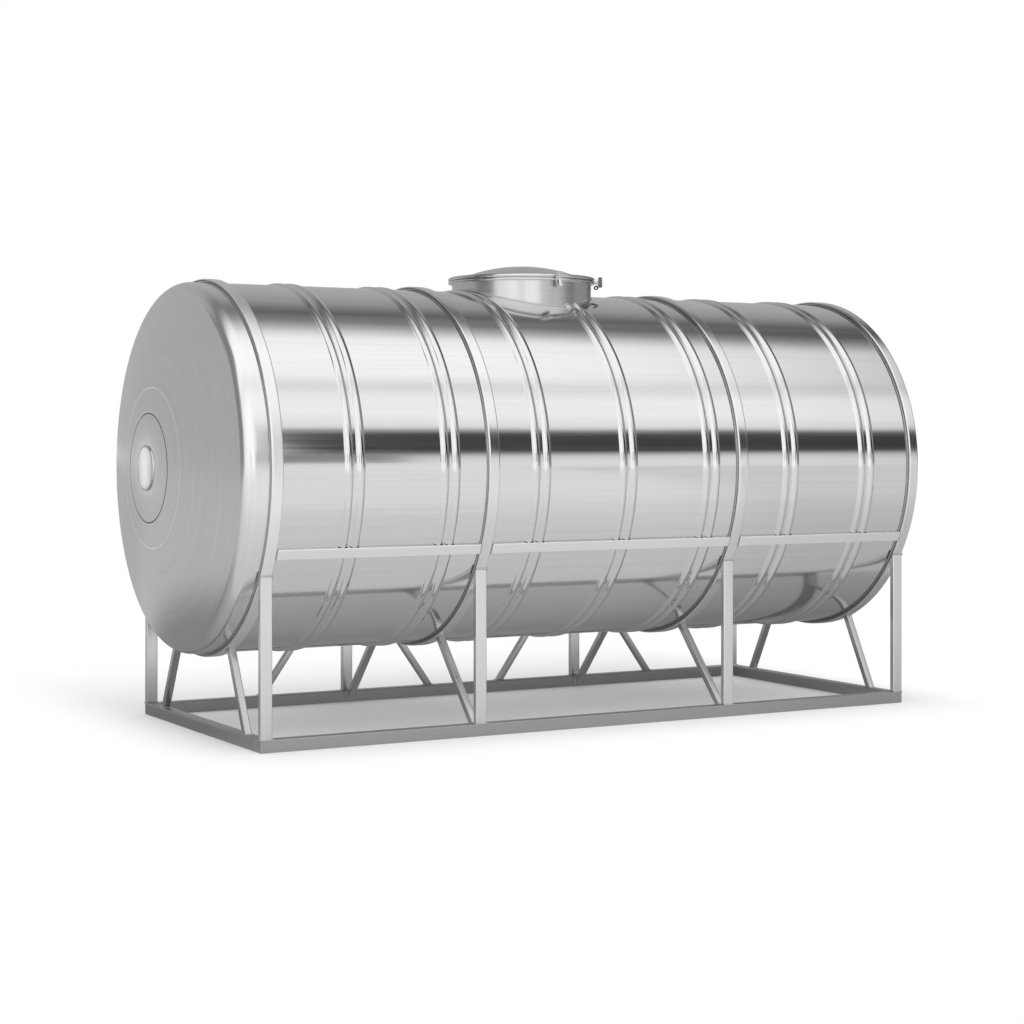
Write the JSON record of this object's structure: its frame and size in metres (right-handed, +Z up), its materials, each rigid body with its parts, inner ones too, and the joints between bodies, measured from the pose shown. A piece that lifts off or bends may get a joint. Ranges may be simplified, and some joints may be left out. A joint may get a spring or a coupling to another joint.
{
  "type": "horizontal stainless steel water tank",
  "caption": "Horizontal cylindrical water tank of polished stainless sheet with dished ends, swaged bead pairs, a domed top manway, hoops and a welded tube frame.",
  "frame": {"origin": "on the floor, under the middle of the tank's overall length", "axes": "+X along the tank's axis, -Y towards the side with the lid's latch, +Z up"},
  "size_m": [3.4974, 1.5304, 1.948],
  "materials": {
    "polished_shell": "mirror polished stainless steel sheet",
    "spun_end": "satin spun stainless steel",
    "satin_bar": "satin stainless steel flat bar",
    "frame_tube": "satin stainless steel tube",
    "manway_sheet": "brushed stainless steel sheet",
    "clamp_metal": "bright rolled stainless steel"
  },
  "bodies": {
    "root": {"base_rail_front": "frame_tube", "base_rail_left": "frame_tube", "base_rail_rear": "frame_tube", "base_rail_right": "frame_tube", "brace_rear_1": "frame_tube", "brace_rear_2": "frame_tube", "brace_rear_3": "frame_tube", "brace_rear_4": "frame_tube", "clamp_knob": "clamp_metal", "clamp_latch": "clamp_metal", "clamp_ring": "clamp_metal", "end_left": "spun_end", "end_right": "spun_end", "hoop_1": "satin_bar", "hoop_2": "satin_bar", "hoop_3": "satin_bar", "hoop_4": "satin_bar", "manway_lid": "manway_sheet", "manway_neck": "manway_sheet", "post_front_1": "frame_tube", "post_front_2": "frame_tube", "post_front_3": "frame_tube", "post_front_4": "frame_tube", "post_rear_1": "frame_tube", "post_rear_2": "frame_tube", "post_rear_3": "frame_tube", "post_rear_4": "frame_tube", "shell_left": "polished_shell", "shell_middle": "polished_shell", "shell_right": "polished_shell", "side_rail_front_1": "satin_bar", "side_rail_front_2": "satin_bar", "side_rail_front_3": "satin_bar", "side_rail_rear_1": "satin_bar", "side_rail_rear_2": "satin_bar", "side_rail_rear_3": "satin_bar", "strut_front_1": "frame_tube", "strut_front_2": "frame_tube", "strut_front_3": "frame_tube", "strut_front_4": "frame_tube", "strut_rear_1": "frame_tube", "strut_rear_2": "frame_tube", "strut_rear_3": "frame_tube", "strut_rear_4": "frame_tube"}
  },
  "joints": []
}
